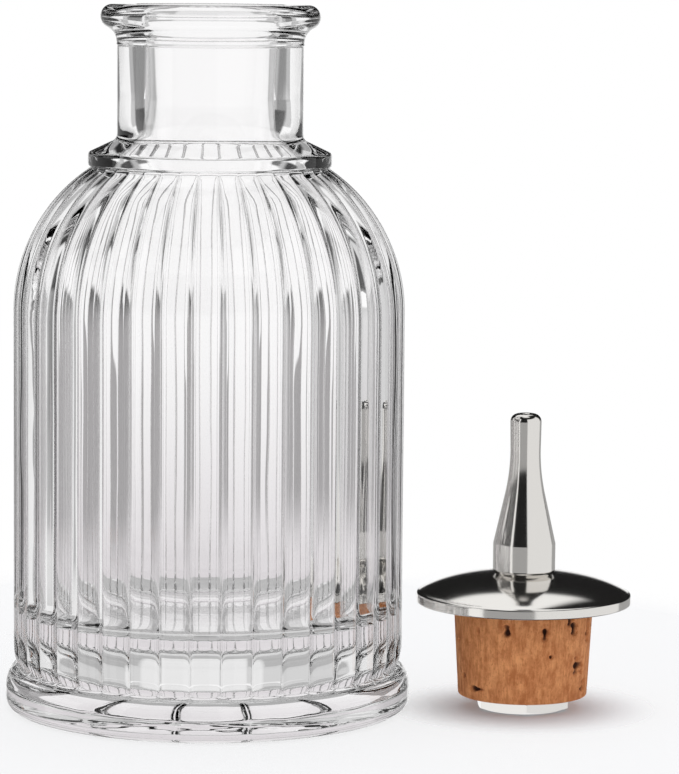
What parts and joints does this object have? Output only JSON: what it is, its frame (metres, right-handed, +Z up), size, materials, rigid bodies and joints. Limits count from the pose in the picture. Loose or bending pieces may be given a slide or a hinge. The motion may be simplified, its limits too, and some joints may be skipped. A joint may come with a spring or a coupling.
{
  "type": "bitters bottle",
  "caption": "Clear reeded glass bitters bottle with a foot band, round shoulder, collar and rolled lip, and its dasher stopper of metal nozzle, domed disc and tapered cork.",
  "frame": {"origin": "on the bottle's axis, at the table that its rest ring stands on", "axes": "+Z up along the bottle's axis, +X from the bottle towards its stopper, -Y towards the viewer"},
  "size_m": [0.0938, 0.0606, 0.105],
  "materials": {
    "clear_glass": "clear, fire polished",
    "polished_nickel": "mirror polished, slightly warm",
    "plain_steel": "as turned",
    "natural_cork": "dry, with dark pits"
  },
  "bodies": {
    "bottle": {"glass_bottle": "clear_glass"},
    "stopper": {"dash_nozzle": "polished_nickel", "cap_disc": "polished_nickel", "cork_plug": "natural_cork", "clamp_nut": "polished_nickel", "threaded_stem": "plain_steel"}
  },
  "joints": [
    {"name": "stopper_lift", "type": "slide", "parent": "bottle", "child": "stopper", "axis": [0, 0, 1], "range_m": [0, 0.12]}
  ]
}
